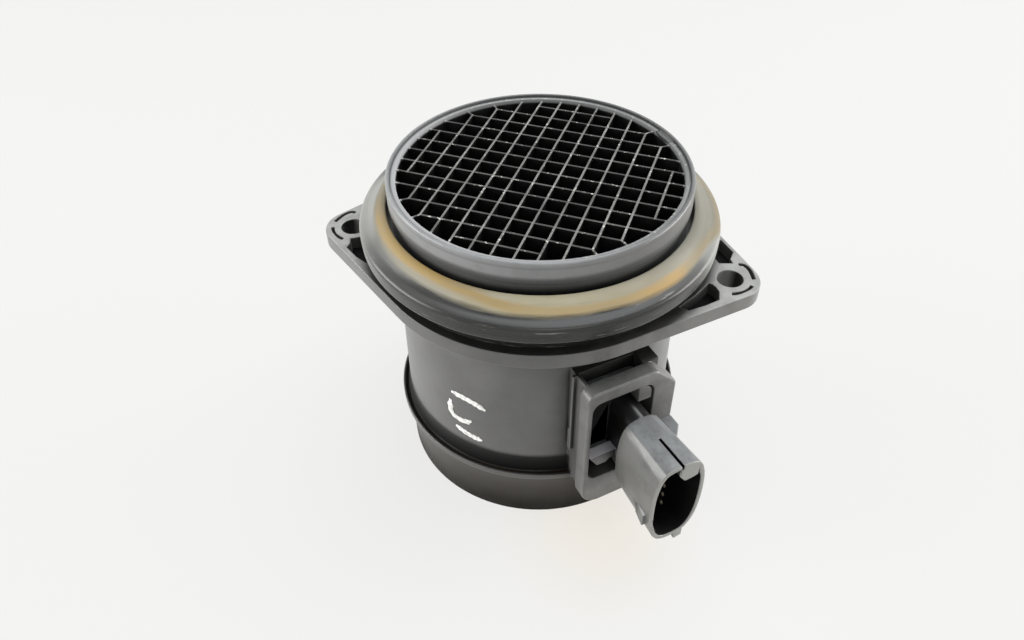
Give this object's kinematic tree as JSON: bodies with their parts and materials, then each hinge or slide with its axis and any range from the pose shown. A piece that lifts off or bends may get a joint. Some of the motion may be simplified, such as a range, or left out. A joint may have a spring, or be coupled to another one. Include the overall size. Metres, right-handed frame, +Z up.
{
  "type": "mass airflow sensor",
  "caption": "Flanged plastic duct section with a flow-straightening grid, a rubber inlet seal and a side boss that holds a plug-in hot-film sensor.",
  "frame": {"origin": "centre of the duct at its outlet end, on the end's plane", "axes": "+Z up the duct's axis to the inlet, +X out of the electrical plug, +Y to the right seen from outside the plug with the inlet up"},
  "size_m": [0.1276, 0.1061, 0.1007],
  "materials": {
    "housing_plastic": "satin glass-filled moulding",
    "grid_plastic": "satin moulding",
    "seal_rubber": "smooth rubber with a tan film on its lip",
    "sensor_plastic": "satin moulding",
    "ring_rubber": "smooth",
    "cover_plastic": "satin moulding",
    "sheet_aluminium": "rolled sheet",
    "board_ceramic": "thick-film ceramic",
    "clear_gel": "soft clear fill",
    "chip_plastic": "moulded package",
    "capacitor_ceramic": "fired",
    "film_silicon": "polished silicon with a thin film",
    "bead_glass": "dark glass",
    "lead_steel": "tinned wire",
    "pin_brass": "tin-plated blade"
  },
  "bodies": {
    "root": {"tube_housing": "housing_plastic", "flow_straightener": "grid_plastic", "inlet_seal": "seal_rubber", "sensor_housing": "sensor_plastic", "probe_seal": "ring_rubber", "electronics_cover": "cover_plastic", "bypass_cover": "cover_plastic", "carrier_plate": "sheet_aluminium", "circuit_board": "board_ceramic", "protective_gel": "clear_gel", "signal_chip": "chip_plastic", "capacitors": "capacitor_ceramic", "element_holder": "chip_plastic", "hot_film_chip": "film_silicon", "temperature_bead": "bead_glass", "temperature_lead_1": "lead_steel", "temperature_lead_2": "lead_steel", "contact_pin_1": "pin_brass", "contact_pin_2": "pin_brass", "contact_pin_3": "pin_brass", "contact_pin_4": "pin_brass", "contact_pin_5": "pin_brass"}
  },
  "joints": []
}
